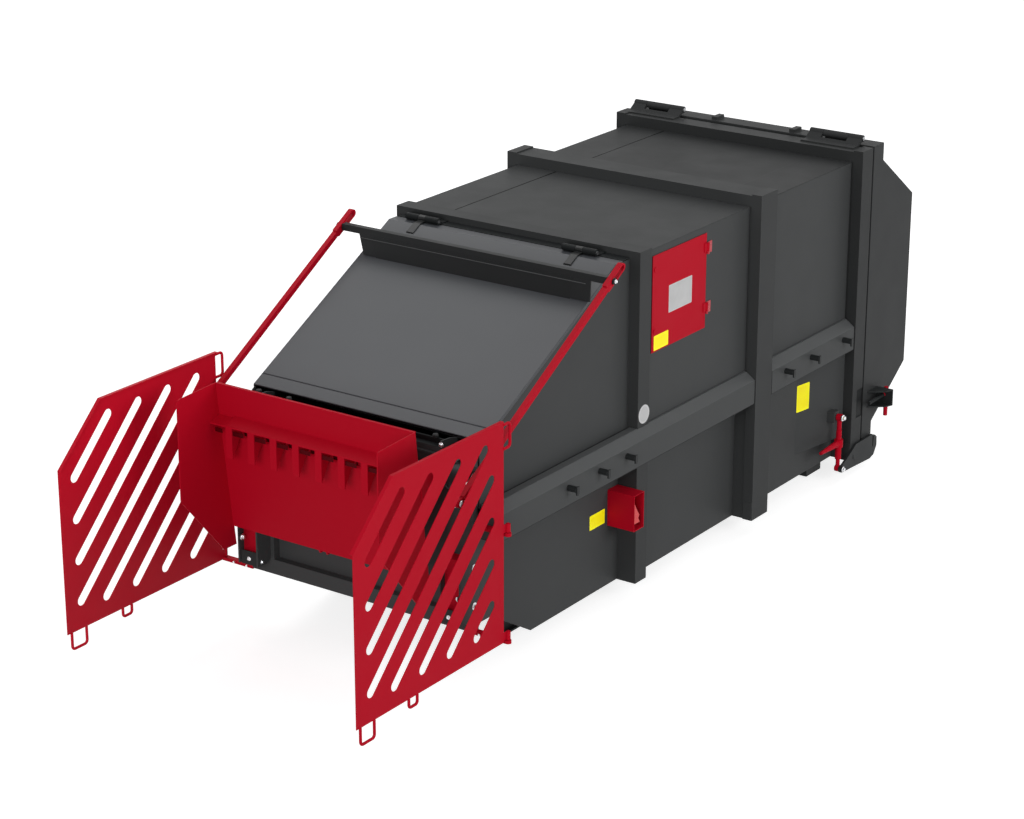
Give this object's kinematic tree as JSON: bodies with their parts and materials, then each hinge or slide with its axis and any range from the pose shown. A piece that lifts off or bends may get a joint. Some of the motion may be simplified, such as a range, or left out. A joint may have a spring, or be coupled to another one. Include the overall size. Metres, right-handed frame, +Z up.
{
  "type": "portable waste compactor",
  "caption": "Closed steel container with a built-in press, a lidded hopper with a tail-lift for wheeled bins between slotted side gates, and a top-hung rear door.",
  "frame": {"origin": "on the ground, midway between the two sides and midway between the gates' front and the rear door's back", "axes": "+X to the side with the power pack cabinet, +Y from the bin lifter to the rear door, +Z up"},
  "size_m": [2.28, 6.666, 2.48],
  "materials": {
    "body_paint": "satin anthracite paint",
    "dark_paint": "satin black paint",
    "red_paint": "semi-gloss signal red paint",
    "blue_paint": "semi-gloss machine paint",
    "bright_steel": "ground steel",
    "chrome": "hard chrome",
    "rubber": "matt black rubber",
    "plastic": "moulded plastic"
  },
  "bodies": {
    "container": {"base_frame": "dark_paint", "floor_plate": "dark_paint", "side_wall_left": "body_paint", "side_wall_right": "body_paint", "roof_panel": "body_paint", "hoop_front": "body_paint", "hoop_mid": "body_paint", "hoop_rear": "body_paint", "side_rail_left": "body_paint", "side_rail_right": "body_paint", "rail_hooks": "dark_paint", "press_wall_left": "body_paint", "press_wall_right": "body_paint", "press_end_frame": "body_paint", "loading_chute": "dark_paint", "ram_guides": "bright_steel", "ram_barrel": "blue_paint", "top_deck": "body_paint", "hinge_pins": "bright_steel", "lifter_bearings": "dark_paint", "rotary_actuators": "dark_paint", "lifter_stops": "red_paint", "gate_brackets": "red_paint", "power_cabinet": "dark_paint", "oil_tank": "blue_paint", "pump_motor": "blue_paint", "valve_block": "bright_steel", "control_box": "body_paint", "socket_box": "red_paint", "power_inlet": "plastic"},
    "ram_stage": {"ram_stage": "chrome"},
    "ram": {"press_ram": "dark_paint", "ram_rod": "chrome"},
    "lid": {"lid": "body_paint", "crossbar": "dark_paint"},
    "lifter": {"lifter_shaft": "bright_steel", "lifter_back": "red_paint", "lifter_cheeks": "red_paint", "lifter_comb": "red_paint", "lifter_arms": "red_paint"},
    "link_left": {"link_left": "red_paint"},
    "link_right": {"link_right": "red_paint"},
    "gate_left": {"gate_left": "red_paint"},
    "gate_right": {"gate_right": "red_paint"},
    "cabinet_door": {"cabinet_door": "red_paint"},
    "rear_door": {"rear_door": "body_paint", "door_seal": "rubber", "screw_brackets": "dark_paint"},
    "screw_left": {"screw_lever_left": "red_paint"},
    "screw_right": {"screw_lever_right": "red_paint"},
    "claw_left": {"claw_left": "dark_paint"},
    "ratchet_eye_left": {"ratchet_eye_left": "red_paint"},
    "ratchet_left": {"ratchet_left": "red_paint"},
    "ratchet_rod_left": {"ratchet_rod_left": "red_paint"},
    "roller_left": {"roller_left": "bright_steel"},
    "claw_right": {"claw_right": "dark_paint"},
    "ratchet_eye_right": {"ratchet_eye_right": "red_paint"},
    "ratchet_right": {"ratchet_right": "red_paint"},
    "ratchet_rod_right": {"ratchet_rod_right": "red_paint"},
    "roller_right": {"roller_right": "bright_steel"}
  },
  "joints": [
    {"name": "ram_stroke", "type": "slide", "parent": "container", "child": "ram", "axis": [0, 1, 0], "range_m": [0, 0.65]},
    {"name": "stage_stroke", "type": "slide", "parent": "container", "child": "ram_stage", "axis": [0, 1, 0], "range_m": [0, 0.33]},
    {"name": "lifter_tilt", "type": "hinge", "parent": "container", "child": "lifter", "pos_m": [0, -2.0508, 1.425], "axis": [-1, 0, 0], "range_deg": [0, 115]},
    {"name": "lid_swing", "type": "hinge", "parent": "container", "child": "lid", "pos_m": [0, -0.346, 2.335], "axis": [-1, 0, 0], "range_deg": [0, 93]},
    {"name": "link_left_pivot", "type": "hinge", "parent": "lifter", "child": "link_left", "pos_m": [-1.04, -2.284, 1.3776], "axis": [-1, 0, 0], "range_deg": [-118, 0]},
    {"name": "gate_left_swing", "type": "hinge", "parent": "container", "child": "gate_left", "pos_m": [-1.104, -1.883, 0.377], "axis": [0, 0, -1], "range_deg": [0, 165]},
    {"name": "link_right_pivot", "type": "hinge", "parent": "lifter", "child": "link_right", "pos_m": [1.04, -2.284, 1.3776], "axis": [-1, 0, 0], "range_deg": [-118, 0]},
    {"name": "gate_right_swing", "type": "hinge", "parent": "container", "child": "gate_right", "pos_m": [1.104, -1.883, 0.377], "axis": [0, 0, 1], "range_deg": [0, 165]},
    {"name": "cabinet_swing", "type": "hinge", "parent": "container", "child": "cabinet_door", "pos_m": [0.943, 0.585, 1.755], "axis": [0, 0, 1], "range_deg": [0, 115]},
    {"name": "rear_door_swing", "type": "hinge", "parent": "container", "child": "rear_door", "pos_m": [0, 2.723, 2.455], "axis": [1, 0, 0], "range_deg": [0, 90]},
    {"name": "screw_left_turn", "type": "hinge", "parent": "rear_door", "child": "screw_left", "pos_m": [-1.07, 2.939, 0.528], "axis": [0, 1, 0], "range_deg": [0, 170]},
    {"name": "claw_left_swing", "type": "hinge", "parent": "container", "child": "claw_left", "pos_m": [-1.03, 2.563, 0.117], "axis": [-1, 0, 0], "range_deg": [0, 12]},
    {"name": "ratchet_eye_left_swing", "type": "hinge", "parent": "container", "child": "ratchet_eye_left", "pos_m": [-1.004, 2.368, 0.499], "axis": [1, 0, 0], "range_deg": [0, 1]},
    {"name": "ratchet_left_turn", "type": "hinge", "parent": "ratchet_eye_left", "child": "ratchet_left", "pos_m": [-1.004, 2.368, 0.499], "axis": [0, 0, -1], "range_deg": [0, 50]},
    {"name": "ratchet_rod_left_travel", "type": "slide", "parent": "ratchet_eye_left", "child": "ratchet_rod_left", "axis": [0, 0, 1], "range_m": [0, 0.042]},
    {"name": "roller_left_spin", "type": "hinge", "parent": "container", "child": "roller_left", "pos_m": [-0.74, 2.423, 0.058], "axis": [1, 0, 0], "continuous": true},
    {"name": "screw_right_turn", "type": "hinge", "parent": "rear_door", "child": "screw_right", "pos_m": [1.07, 2.939, 0.528], "axis": [0, -1, 0], "range_deg": [0, 170]},
    {"name": "claw_right_swing", "type": "hinge", "parent": "container", "child": "claw_right", "pos_m": [1.03, 2.563, 0.117], "axis": [-1, 0, 0], "range_deg": [0, 12]},
    {"name": "ratchet_eye_right_swing", "type": "hinge", "parent": "container", "child": "ratchet_eye_right", "pos_m": [1.004, 2.368, 0.499], "axis": [1, 0, 0], "range_deg": [0, 1]},
    {"name": "ratchet_right_turn", "type": "hinge", "parent": "ratchet_eye_right", "child": "ratchet_right", "pos_m": [1.004, 2.368, 0.499], "axis": [0, 0, 1], "range_deg": [0, 50]},
    {"name": "ratchet_rod_right_travel", "type": "slide", "parent": "ratchet_eye_right", "child": "ratchet_rod_right", "axis": [0, 0, 1], "range_m": [0, 0.042]},
    {"name": "roller_right_spin", "type": "hinge", "parent": "container", "child": "roller_right", "pos_m": [0.74, 2.423, 0.058], "axis": [1, 0, 0], "continuous": true}
  ],
  "couplings": [
    {"joint": "stage_stroke", "follows": "ram_stroke", "ratio": 0.5},
    {"joint": "lid_swing", "follows": "lifter_tilt", "ratio": 0.8},
    {"joint": "link_left_pivot", "follows": "lifter_tilt", "ratio": -1.0167},
    {"joint": "ratchet_eye_left_swing", "follows": "claw_left_swing", "ratio": 0.03125},
    {"joint": "ratchet_rod_left_travel", "follows": "claw_left_swing", "m_per_rad": 0.1944},
    {"joint": "link_right_pivot", "follows": "lifter_tilt", "ratio": -1.0167},
    {"joint": "ratchet_eye_right_swing", "follows": "claw_right_swing", "ratio": 0.03125},
    {"joint": "ratchet_rod_right_travel", "follows": "claw_right_swing", "m_per_rad": 0.1944}
  ]
}
